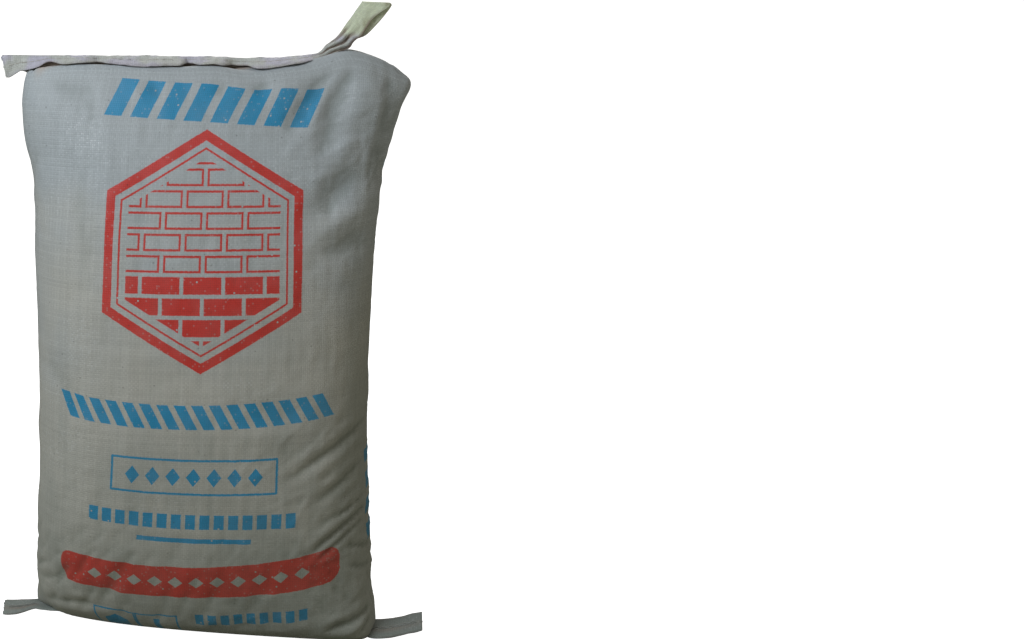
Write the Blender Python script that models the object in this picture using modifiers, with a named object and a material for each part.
"""A filled 50 kg woven sack of cement, standing on its sewn base.

The sack is one soft solid: a woven tube with its powder inside, drawn in to a thin sewn mouth at
the top and pressed flat on the floor at the base. A folded strip of cloth binds each end and runs
out past the corners as loose ears, and a thread sews each strip.

Metres, +Z up. The printed front faces -Y. The origin is the middle of the flat base.
"""

import math
from typing import NamedTuple

import bmesh
import bpy
from mathutils import Matrix, Vector

# Sack body
MOUTH_HEIGHT = 0.643  # floor to the top of the mouth, inside the top strip's fold
BODY_HALF_WIDTH = 0.186  # at the waist, side to side
BODY_HALF_DEPTH = 0.098  # at the belly, front to back
BASE_TURN = math.radians(-8.0)  # the base is twisted under the body, right corner to the front

# Mouth of the sack, which the top strip binds
MOUTH_LEFT = 0.186  # origin to the mouth's left end
MOUTH_RIGHT = 0.118  # origin to where the mouth is gathered under the twisted ear
MOUTH_THICKNESS = 0.003  # front and back cloth pressed together
MOUTH_ROUNDNESS = 4.0  # the mouth's section is nearly a flat bar
TUCK = 0.010  # how far the shoulders stand above the strip's free edges
CREST_START = -0.200  # where the line of CREST_LIFTS begins, across the sack
CREST_STEP = 0.035  # between two of its places
CREST_LIFTS = (  # how far the cage's shoulders stand above their level: low at the left, puffed at the right
    0.0084, 0.0110, 0.0150, 0.0152, 0.0106, 0.0125, 0.0116, 0.0085, 0.0125, 0.0188, 0.0375, 0.0270, 0.0040
)
NOTCH_DEPTH = 0.017  # the left shoulder dips this far under the strip's ear, between its front and its back
NOTCH_REACH = 0.0085  # half the notch's width
NOTCH_START = -0.150  # it begins here and is full at NOTCH_END
NOTCH_END = -0.180

# Binding strips
TOP_STRIP_WIDTH = 0.024  # fold to free edge
STRIP_CLOTH = 0.0012  # thickness of one layer
MOUTH_MARGIN = 0.003  # the strip closes up this far past the mouth on the left, and before it on the right
BASE_STRIP_WIDTH = 0.028
LEFT_EAR = 0.030  # top strip beyond the mouth's left end
PINCHED_WIDTH = 0.010  # top strip where it is twisted
TWIST_RUN = 0.018  # from the mouth's right end to the twist, sideways
TWIST_RISE = 0.017  # and upwards
TWIST_HANG = (0.35, 0.25, -0.90)  # which way the strip hangs half way to the twist
TWIST_FACE = (-0.25, -0.95, -0.36)  # which way its front faces there
TURNED_FACE = (0.25, -0.85, 0.45)  # and at the twist itself
TURNED_LEAN = 0.5  # how far its free edges lean back at the twist
FLAG_LENGTH = 0.050  # top strip from the twist to its right end
FLAG_RISE = math.radians(56.5)  # how steeply that ear stands up
FLAG_WIDTH = 0.024
FLAG_OPENING = 0.62  # share of its length after which it is fully spread
FLAG_CUT = 0.030  # its slanted end, corner to corner
FLAG_SLANT = math.radians(4.6)  # that end falls to the right by this much
EAR_SLANT = 0.004  # the left ear's end is cut this far off square
BASE_LEFT_EAR_END = 0.242  # base centre to the tip of each lower ear
BASE_RIGHT_EAR_END = 0.254
BASE_EAR_ROOT = 0.200  # base centre to where the ears come out from under the sack
BASE_EAR_LIFT = 0.010  # how far the right lower ear curls up off the floor
BASE_STRIP_OFFSET = -0.018  # base strip's middle from the base's own centre line
WORN_EDGE = 0.35  # rounding of the base strip's edges, as a share of its thickness

# Threads
THREAD_RADIUS = 0.0005
STITCH_INSET = 0.011  # seam line below the top strip's fold
THREAD_END_INSET = 0.006  # end of a thread from the end of its strip
THREAD_LIFT = 0.0007  # between a thread and the cloth under it, which bends less evenly

CLEARANCE = 0.0004  # between pieces that touch
LAYER_GAP = 0.0005  # half the space between the two layers of an empty fold

FOLD_FADE = 0.030  # folds fade out over this height above the floor
FOLD_LEVELS = (-4, 2)  # and over these rows of the surface around the shoulders' crest

RING_POINTS = 12
RING_STEPS = 6  # steps of the sack's surface between two points of a ring
LEVEL_STEPS = 4  # and between two rings
STRIP_STEPS = 3  # steps of the top strip's curve between two of its stations
CAGE_OUTSET = 1.037  # the surface runs inside its cage by this much, so the cage stands outside


class Section(NamedTuple):
    """One level cut through the sack, as shares of the body's own sizes."""

    height: float  # share of the way from the floor to the shoulders' crest
    left: float  # share of BODY_HALF_WIDTH
    right: float
    depth: float  # share of BODY_HALF_DEPTH
    round_left: float  # 2 is an ellipse, and more is boxier
    round_right: float
    turn: float  # share of BASE_TURN
    rise: float  # share of CREST_LIFTS


SECTIONS = (
    Section(0.000, 1.100, 1.054, 0.565, 2.1, 5.0, 1.00, 0.0),
    Section(0.018, 1.094, 1.055, 0.77, 2.2, 4.2, 1.00, 0.0),
    Section(0.070, 1.073, 1.042, 0.95, 2.4, 3.2, 0.90, 0.0),
    Section(0.205, 1.039, 1.013, 1.03, 2.6, 2.7, 0.60, 0.0),
    Section(0.390, 1.001, 0.983, 1.02, 2.5, 2.5, 0.25, 0.0),
    Section(0.570, 1.004, 0.991, 0.97, 2.5, 2.5, 0.00, 0.0),
    Section(0.740, 0.991, 0.996, 0.86, 2.4, 2.4, 0.00, 0.0),
    Section(0.850, 1.019, 1.043, 0.69, 2.3, 2.3, 0.00, 0.0),
    Section(0.915, 1.049, 1.062, 0.56, 2.3, 2.3, 0.00, 0.0),
    Section(0.968, 1.059, 1.212, 0.41, 2.2, 2.2, 0.00, 0.2),
    Section(1.000, 1.010, 1.190, 0.22, 2.2, 2.2, 0.00, 1.0),
)


class Fold(NamedTuple):
    """A soft hollow in the cloth along a line on one side, or a ridge where its depth is negative."""

    facing: tuple  # out of that side of the sack
    depth: float
    reach: float  # half its width
    line: tuple  # places across and up, as shares of BODY_HALF_WIDTH and MOUTH_HEIGHT


FRONT = (0, -1)
BACK = (0, 1)
RIGHT = (1, 0)
LEFT = (-1, 0)

FOLDS = (
    # From the pinch at the right end of the mouth
    Fold(FRONT, 0.0066, 0.014, ((0.747, 0.998), (0.629, 0.960), (0.446, 0.880))),
    Fold(FRONT, 0.0062, 0.014, ((0.844, 0.995), (0.731, 0.936), (0.640, 0.840))),
    # Edge and hollow under the puffed right corner
    Fold(FRONT, 0.0070, 0.016, ((0.990, 0.778), (1.020, 0.880), (1.080, 0.960))),
    Fold(FRONT, -0.0034, 0.012, ((0.925, 0.824), (0.957, 0.871), (0.989, 0.980))),
    # Hollow and ridge in the middle of the right side
    Fold(FRONT, 0.0066, 0.015, ((0.677, 0.746), (0.806, 0.810), (0.935, 0.830))),
    Fold(FRONT, -0.0044, 0.013, ((0.581, 0.715), (0.806, 0.754), (0.946, 0.759))),
    # Diagonal creases low on the right, and across the right corner of the base
    Fold(FRONT, -0.0028, 0.014, ((0.161, 0.389), (0.699, 0.407))),
    Fold(FRONT, 0.0042, 0.011, ((0.457, 0.311), (0.737, 0.358), (0.968, 0.395))),
    Fold(FRONT, 0.0050, 0.010, ((0.602, 0.168), (0.806, 0.210), (0.968, 0.232))),
    Fold(FRONT, 0.0050, 0.010, ((0.699, 0.028), (1.032, 0.058))),
    # Back
    Fold(BACK, 0.0052, 0.014, ((-0.914, 0.956), (-0.699, 0.918), (-0.484, 0.855))),
    Fold(BACK, 0.0056, 0.014, ((0.672, 0.983), (0.581, 0.918), (0.376, 0.840))),
    Fold(BACK, 0.0050, 0.014, ((0.806, 0.980), (0.806, 0.902), (0.860, 0.809))),
    Fold(BACK, 0.0040, 0.011, ((0.887, 0.280), (0.699, 0.233), (0.511, 0.187))),
    Fold(BACK, 0.0042, 0.010, ((0.887, 0.171), (0.699, 0.132), (0.565, 0.093))),
    Fold(BACK, 0.0036, 0.011, ((-0.887, 0.187), (-0.699, 0.148), (-0.538, 0.124))),
    # Narrow sides
    Fold(RIGHT, 0.0050, 0.014, ((-0.215, 0.871), (0.0, 0.809), (0.108, 0.731))),
    Fold(LEFT, 0.0030, 0.020, ((-0.215, 0.871), (0.0, 0.778))),
)


def crest_height() -> float:
    """Height of the shoulders, which stand TUCK above the strip's free edges."""
    return MOUTH_HEIGHT - TOP_STRIP_WIDTH + TUCK


def material(name: str, colour: tuple, roughness: float) -> bpy.types.Material:
    """Makes a plain Principled BSDF material."""
    made = bpy.data.materials.new(name)
    made.use_nodes = True
    shader = made.node_tree.nodes["Principled BSDF"]
    shader.inputs["Base Color"].default_value = (*colour, 1.0)
    shader.inputs["Roughness"].default_value = roughness
    shader.inputs["Metallic"].default_value = 0.0
    return made


def collection(name: str) -> bpy.types.Collection:
    """Makes a collection in the scene."""
    made = bpy.data.collections.new(name)
    bpy.context.scene.collection.children.link(made)
    return made


def oval(left: float, right: float, depth: float, round_left: float, round_right: float) -> list:
    """Points round a flattened oval, counterclockwise from its right end."""
    points = []
    for step in range(RING_POINTS):
        angle = 2 * math.pi * step / RING_POINTS
        roundness = round_right if math.cos(angle) > 0 else round_left
        across = math.copysign(abs(math.cos(angle)) ** (2 / roundness), math.cos(angle))
        along = math.copysign(abs(math.sin(angle)) ** (2 / roundness), math.sin(angle))
        middle = (right - left) / 2
        half = (right + left) / 2
        points.append(Vector((middle + half * across * CAGE_OUTSET, depth * along * CAGE_OUTSET, 0.0)))
    return points


def body_ring(section: Section) -> list:
    """Cage points of one section, turned with the base, each with its share of the crest's lifts."""
    ring = oval(
        section.left * BODY_HALF_WIDTH,
        section.right * BODY_HALF_WIDTH,
        section.depth * BODY_HALF_DEPTH,
        section.round_left,
        section.round_right,
    )
    turn = Matrix.Rotation(BASE_TURN * section.turn, 3, "Z")
    points = []
    for point in ring:
        turned = turn @ point
        points.append(Vector((turned.x, turned.y, section.height * crest_height(), section.rise)))
    return points


def mouth_ring(height: float, thickness: float) -> list:
    """Cage points of one level of the thin mouth."""
    ring = oval(MOUTH_LEFT, MOUTH_RIGHT, thickness / 2, MOUTH_ROUNDNESS, MOUTH_ROUNDNESS)
    return [Vector((point.x, point.y, height, 0.0)) for point in ring]


def sack_rings() -> list:
    """All the rings of the sack's cage, from the floor to the mouth."""
    strip_foot = MOUTH_HEIGHT - TOP_STRIP_WIDTH
    rings = [body_ring(section) for section in SECTIONS]
    rings.append(mouth_ring(strip_foot - 0.20 * TUCK, 3.0 * MOUTH_THICKNESS))
    rings.append(mouth_ring(strip_foot - 0.55 * TUCK, MOUTH_THICKNESS))
    rings.append(mouth_ring(strip_foot + 0.25 * TOP_STRIP_WIDTH, MOUTH_THICKNESS))
    rings.append(mouth_ring(MOUTH_HEIGHT - 0.25 * TOP_STRIP_WIDTH, MOUTH_THICKNESS))
    rings.append(mouth_ring(MOUTH_HEIGHT, MOUTH_THICKNESS))
    return rings


def drawn_in(values: list, share: float) -> Vector:
    """A point on the smooth curve that four values draw towards themselves."""
    before, first, second, after = values
    square = share * share
    cube = square * share
    return (
        before * (1 - share) ** 3
        + first * (3 * cube - 6 * square + 4)
        + second * (-3 * cube + 3 * square + 3 * share + 1)
        + after * cube
    ) / 6


def round_curve(values: list, steps: int) -> list:
    """A closed smooth curve inside the given points."""
    around = [values[-1], *values, values[0], values[1]]
    return [
        drawn_in(around[span : span + 4], step / steps) for span in range(len(values)) for step in range(steps)
    ]


def open_curve(values: list, steps: int) -> list:
    """An open smooth curve inside the given points, from the first to the last."""
    run = [2 * values[0] - values[1], *values, 2 * values[-1] - values[-2]]
    spans = len(values) - 1
    points = [drawn_in(run[span : span + 4], step / steps) for span in range(spans) for step in range(steps)]
    return [*points, values[-1]]


def crest_lift(across: float, forward: float) -> float:
    """How far the shoulders' cage stands above its level at one place."""
    place = min(max((across - CREST_START) / CREST_STEP, 0.0), len(CREST_LIFTS) - 1.0)
    span = min(int(place), len(CREST_LIFTS) - 2)
    ends = [CREST_LIFTS[0], *CREST_LIFTS, CREST_LIFTS[-1]]
    notch = eased(NOTCH_START, NOTCH_END, across) * math.exp(-((forward / NOTCH_REACH) ** 2))
    return curved(ends[span : span + 4], place - span) - NOTCH_DEPTH * notch


def eased(low: float, high: float, value: float) -> float:
    """Rises smoothly from 0 at low to 1 at high."""
    share = min(max((value - low) / (high - low), 0.0), 1.0)
    return share * share * (3 - 2 * share)


def line_distance(across: float, up: float, line: list) -> float:
    """Distance from a place to the nearest point of a line of straight runs."""
    here = Vector((across, up))
    nearest = math.inf
    for start, end in zip(line, line[1:]):
        run = end - start
        share = min(max((here - start).dot(run) / run.length_squared, 0.0), 1.0)
        nearest = min(nearest, (here - start - run * share).length)
    return nearest


def fold_depth(point: Vector, normal: Vector) -> float:
    """How far all the folds press one point of the cloth in."""
    depth = 0.0
    for fold in FOLDS:
        facing = Vector((*fold.facing, 0))
        weight = eased(0.05, 0.45, normal.dot(facing))
        if weight > 0.0:
            across = point.x if fold.facing in (FRONT, BACK) else point.y
            line = [Vector((place * BODY_HALF_WIDTH, height * MOUTH_HEIGHT)) for place, height in fold.line]
            off = line_distance(across, point.z, line) / fold.reach
            depth += weight * fold.depth * math.exp(-off * off)
    return depth * eased(0.0, FOLD_FADE, point.z)


def sack_grid() -> list:
    """Rows of points on the sack's surface, with its crest and its folds."""
    levels = [round_curve(ring, RING_STEPS) for ring in sack_rings()]
    columns = [open_curve(list(column), LEVEL_STEPS) for column in zip(*levels)]
    rows = []
    for row in zip(*columns):
        rows.append([Vector((p.x, p.y, p.z + p.w * crest_lift(p.x, p.y))) for p in row])
    folded = [list(row) for row in rows]
    crest_row = (len(SECTIONS) - 1) * LEVEL_STEPS
    for level in range(1, crest_row + FOLD_LEVELS[1]):
        below_crest = eased(crest_row + FOLD_LEVELS[1], crest_row + FOLD_LEVELS[0], level)
        count = len(rows[level])
        for step, point in enumerate(rows[level]):
            sideways = rows[level][(step + 1) % count] - rows[level][step - 1]
            upwards = rows[level + 1][step] - rows[level - 1][step]
            normal = sideways.cross(upwards).normalized()
            folded[level][step] = point - normal * (fold_depth(point, normal) * below_crest)
    return folded


def lofted(name: str, rings: list) -> bpy.types.Mesh:
    """Joins rings of equal length into a closed mesh."""
    mesh = bpy.data.meshes.new(name)
    built = bmesh.new()
    rows = [[built.verts.new(point) for point in ring] for ring in rings]
    count = len(rows[0])
    for lower, upper in zip(rows, rows[1:]):
        for step in range(count):
            after = (step + 1) % count
            built.faces.new((lower[step], lower[after], upper[after], upper[step]))
    built.faces.new(list(reversed(rows[0])))
    built.faces.new(rows[-1])
    bmesh.ops.recalc_face_normals(built, faces=built.faces)
    built.to_mesh(mesh)
    built.free()
    return mesh


def placed(name: str, mesh, where: bpy.types.Collection, finish) -> bpy.types.Object:
    """Puts a mesh or a curve into the scene as an object."""
    made = bpy.data.objects.new(name, mesh)
    if finish:
        mesh.materials.append(finish)
    where.objects.link(made)
    return made


def base_groove(cutters: bpy.types.Collection) -> bpy.types.Object:
    """The hollow that the base strip and its thread press into the sack's underside."""
    height = base_strip_height() + 2 * THREAD_RADIUS + 2 * CLEARANCE
    length = 2 * (BASE_LEFT_EAR_END + BASE_RIGHT_EAR_END)
    mesh = bpy.data.meshes.new("base_groove")
    built = bmesh.new()
    bmesh.ops.create_cube(built, size=1.0)
    bmesh.ops.scale(
        built, vec=(length, BASE_STRIP_WIDTH + 2 * CLEARANCE, 2 * height), verts=built.verts
    )
    built.to_mesh(mesh)
    built.free()
    cutter = placed("base_groove", mesh, cutters, None)
    cutter.matrix_world = base_frame()
    cutter.hide_render = True
    cutter.display_type = "WIRE"
    return cutter


def base_frame() -> Matrix:
    """The base strip's own place: turned with the base, its middle on BASE_STRIP_OFFSET."""
    return Matrix.Rotation(BASE_TURN, 4, "Z") @ Matrix.Translation((0, BASE_STRIP_OFFSET, 0))


def make_sack(parts: bpy.types.Collection, cutters: bpy.types.Collection) -> None:
    """The filled sack, with a groove across its base for the strip folded under it."""
    finish = material("woven_cloth", (0.46, 0.46, 0.44), 0.55)
    sack = placed("woven_sack", lofted("woven_sack", sack_grid()), parts, finish)
    sack.data.shade_smooth()
    cut = sack.modifiers.new("Groove for the base strip", "BOOLEAN")
    cut.operation = "DIFFERENCE"
    cut.solver = "EXACT"
    cut.object = base_groove(cutters)


class StripStation(NamedTuple):
    """Where the top strip's fold runs, and how the strip hangs from it."""

    fold: Vector
    down: Vector  # from the fold to the free edges
    face: Vector  # out of the strip's front
    width: float
    half_gap: float


def top_strip_stations() -> list:
    """The strip from its left ear, along the mouth, through the twist, to the end of the right ear."""
    front = Vector((0, -1, 0))
    below = Vector((0, 0, -1))
    open_gap = MOUTH_THICKNESS / 2 + CLEARANCE
    top = MOUTH_HEIGHT + open_gap
    ear_end = -MOUTH_LEFT - LEFT_EAR
    slanted = Vector((EAR_SLANT, 0, -TOP_STRIP_WIDTH)).normalized()
    stations = [
        StripStation(Vector((ear_end, 0, top)), slanted, front, TOP_STRIP_WIDTH, LAYER_GAP),
        StripStation(Vector((ear_end + LEFT_EAR / 2, 0, top)), below, front, TOP_STRIP_WIDTH, LAYER_GAP),
    ]
    runs = 8
    start = -MOUTH_LEFT - MOUTH_MARGIN
    for step in range(runs + 1):
        along = start + (MOUTH_RIGHT - MOUTH_MARGIN - start) * step / runs
        stations.append(StripStation(Vector((along, 0, top)), below, front, TOP_STRIP_WIDTH, open_gap))
    axis = Vector((math.cos(FLAG_RISE), 0, math.sin(FLAG_RISE)))
    across = Vector((math.sin(FLAG_RISE), 0, -math.cos(FLAG_RISE)))
    twist = Vector((MOUTH_RIGHT + TWIST_RUN, 0, top + TWIST_RISE))
    gathered = PINCHED_WIDTH + (TOP_STRIP_WIDTH - PINCHED_WIDTH) / 4
    half_way = Vector((MOUTH_RIGHT + TWIST_RUN / 2, 0, top + TWIST_RISE / 2))
    hang = Vector(TWIST_HANG).normalized()
    stations.append(StripStation(half_way, hang, Vector(TWIST_FACE).normalized(), gathered, LAYER_GAP))
    leaning = (across + Vector((0, TURNED_LEAN, 0))).normalized()
    turned = Vector(TURNED_FACE).normalized()
    stations.append(StripStation(twist, leaning, turned, PINCHED_WIDTH, LAYER_GAP))
    for share, lean in ((FLAG_OPENING / 2, TURNED_LEAN / 2), (FLAG_OPENING, 0.0)):
        width = PINCHED_WIDTH + (FLAG_WIDTH - PINCHED_WIDTH) * share / FLAG_OPENING
        down = (across + Vector((0, lean, 0))).normalized()
        stations.append(StripStation(twist + axis * FLAG_LENGTH * share, down, front, width, LAYER_GAP))
    end = twist + axis * FLAG_LENGTH
    cut = Vector((math.cos(FLAG_SLANT), 0, -math.sin(FLAG_SLANT)))
    stations.append(StripStation(end, cut, front, FLAG_CUT, LAYER_GAP))
    return stations


def curved(values: list, share: float) -> Vector:
    """A point between the middle two of four values, on a smooth curve through them."""
    before, first, second, after = values
    slope_in = (second - before) / 2
    slope_out = (after - first) / 2
    square = share * share
    cube = square * share
    return (
        first * (2 * cube - 3 * square + 1)
        + slope_in * (cube - 2 * square + share)
        + second * (3 * square - 2 * cube)
        + slope_out * (cube - square)
    )


def smooth_stations() -> list:
    """The top strip's stations with STRIP_STEPS steps between each two, on a smooth curve."""
    stations = top_strip_stations()
    ends = [stations[0], *stations, stations[-1]]
    smoothed = []
    for span in range(len(stations) - 1):
        four = ends[span : span + 4]
        for step in range(STRIP_STEPS):
            share = step / STRIP_STEPS
            smoothed.append(StripStation(*(curved(values, share) for values in zip(*four))))
    smoothed.append(stations[-1])
    return [
        station._replace(down=station.down.normalized(), face=station.face.normalized())
        for station in smoothed
    ]


def squared(station: StripStation) -> Vector:
    """The station's front direction, made square to the way the strip hangs."""
    return (station.face - station.face.project(station.down)).normalized()


def strip_profile(station: StripStation) -> list:
    """Inside line of the folded strip: up its back layer, over the fold and down its front layer."""
    face = squared(station)
    shoulder = station.fold + station.down * station.half_gap
    foot = station.fold + station.down * station.width
    middle = shoulder.lerp(foot, 0.5)
    points = [foot - face * station.half_gap, middle - face * station.half_gap]
    turns = 4
    for step in range(turns + 1):
        angle = math.pi * step / turns
        points.append(
            shoulder
            - face * station.half_gap * math.cos(angle)
            - station.down * station.half_gap * math.sin(angle)
        )
    points.extend((middle + face * station.half_gap, foot + face * station.half_gap))
    return points


def sheet(name: str, rows: list) -> bpy.types.Mesh:
    """An open grid of faces through rows of equal length."""
    mesh = bpy.data.meshes.new(name)
    built = bmesh.new()
    grid = [[built.verts.new(point) for point in row] for row in rows]
    for first, second in zip(grid, grid[1:]):
        for step in range(len(first) - 1):
            built.faces.new((first[step], first[step + 1], second[step + 1], second[step]))
    built.to_mesh(mesh)
    built.free()
    return mesh


def make_top_strip(parts: bpy.types.Collection) -> None:
    """The folded strip that binds the mouth, open at its lower edges, with both ears."""
    rows = [strip_profile(station) for station in smooth_stations()]
    finish = material("strip_cloth", (0.62, 0.60, 0.56), 0.6)
    strip = placed("top_strip", sheet("top_strip", rows), parts, finish)
    strip.data.shade_smooth()
    shell = strip.modifiers.new("Cloth thickness", "SOLIDIFY")
    shell.thickness = STRIP_CLOTH
    shell.offset = 1.0
    shell.use_even_offset = True


def thread_path() -> list:
    """The top seam, along the strip's front from ear to ear."""
    out = STRIP_CLOTH + THREAD_LIFT + THREAD_RADIUS
    points = []
    for station in smooth_stations()[1:-1]:
        depth = min(STITCH_INSET, 0.5 * station.width)
        points.append(
            station.fold + station.down * depth + squared(station) * (station.half_gap + out)
        )
    return points


def thread_curve(name: str, points: list) -> bpy.types.Curve:
    """A thin round thread through the points, with closed ends."""
    curve = bpy.data.curves.new(name, "CURVE")
    curve.dimensions = "3D"
    curve.bevel_depth = THREAD_RADIUS
    curve.bevel_resolution = 2
    curve.use_fill_caps = True
    spline = curve.splines.new("POLY")
    spline.points.add(len(points) - 1)
    for knot, point in zip(spline.points, points):
        knot.co = (*point, 1.0)
    return curve


def make_top_thread(parts: bpy.types.Collection) -> None:
    """The thread that closes the mouth, along the front of the top strip."""
    finish = material("seam_thread", (0.75, 0.72, 0.65), 0.7)
    placed("top_thread", thread_curve("top_thread", thread_path()), parts, finish)


def base_strip_height() -> float:
    """Thickness of the base strip, which is two layers folded flat."""
    return 2 * STRIP_CLOTH + 2 * LAYER_GAP


def base_strip_line(start: float, end: float) -> list:
    """Points along the underside of the base strip's middle, in the base strip's own frame."""
    stops = [start, (start - BASE_EAR_ROOT) / 2, -BASE_EAR_ROOT, 0.0, BASE_EAR_ROOT]
    steps = 4
    stops.extend(BASE_EAR_ROOT + (end - BASE_EAR_ROOT) * step / steps for step in range(1, steps + 1))
    points = []
    for along in stops:
        out = max(0.0, along - BASE_EAR_ROOT) / (BASE_RIGHT_EAR_END - BASE_EAR_ROOT)
        points.append(Vector((along, 0, BASE_EAR_LIFT * out * out)))
    return points


def base_strip_normal(along: float) -> Vector:
    """Straight up along the flat stretch, and square to the cloth on the curled ear."""
    ear = BASE_RIGHT_EAR_END - BASE_EAR_ROOT
    slope = 2 * BASE_EAR_LIFT * max(0.0, along - BASE_EAR_ROOT) / (ear * ear)
    return Vector((-slope, 0, 1)).normalized()


def make_base_strip(parts: bpy.types.Collection) -> None:
    """The strip that binds the base, pressed flat on the floor, with both ears."""
    side = Vector((0, BASE_STRIP_WIDTH / 2, 0))
    line = base_strip_line(-BASE_LEFT_EAR_END, BASE_RIGHT_EAR_END)
    rows = [(point + side, point - side) for point in line]
    finish = material("base_strip_cloth", (0.36, 0.37, 0.34), 0.6)
    strip = placed("base_strip", sheet("base_strip", rows), parts, finish)
    strip.matrix_world = base_frame()
    shell = strip.modifiers.new("Cloth thickness", "SOLIDIFY")
    shell.thickness = base_strip_height()
    shell.offset = 1.0
    rounded = strip.modifiers.new("Worn edges", "BEVEL")
    rounded.width = WORN_EDGE * base_strip_height()
    rounded.segments = 2


def make_base_thread(parts: bpy.types.Collection) -> None:
    """The thread that closes the base, along the top of the base strip."""
    lift = base_strip_height() + CLEARANCE + THREAD_RADIUS
    left = -BASE_LEFT_EAR_END + THREAD_END_INSET
    right = BASE_RIGHT_EAR_END - THREAD_END_INSET
    points = [point + lift * base_strip_normal(point.x) for point in base_strip_line(left, right)]
    finish = material("base_seam_thread", (0.60, 0.58, 0.52), 0.7)
    thread = placed("base_thread", thread_curve("base_thread", points), parts, finish)
    thread.matrix_world = base_frame()


def main() -> None:
    """Clears the scene and builds the sack."""
    for old in list(bpy.data.objects):
        bpy.data.objects.remove(old, do_unlink=True)
    parts = collection("cement_bag")
    cutters = collection("cutters")
    make_sack(parts, cutters)
    make_top_strip(parts)
    make_top_thread(parts)
    make_base_strip(parts)
    make_base_thread(parts)


main()
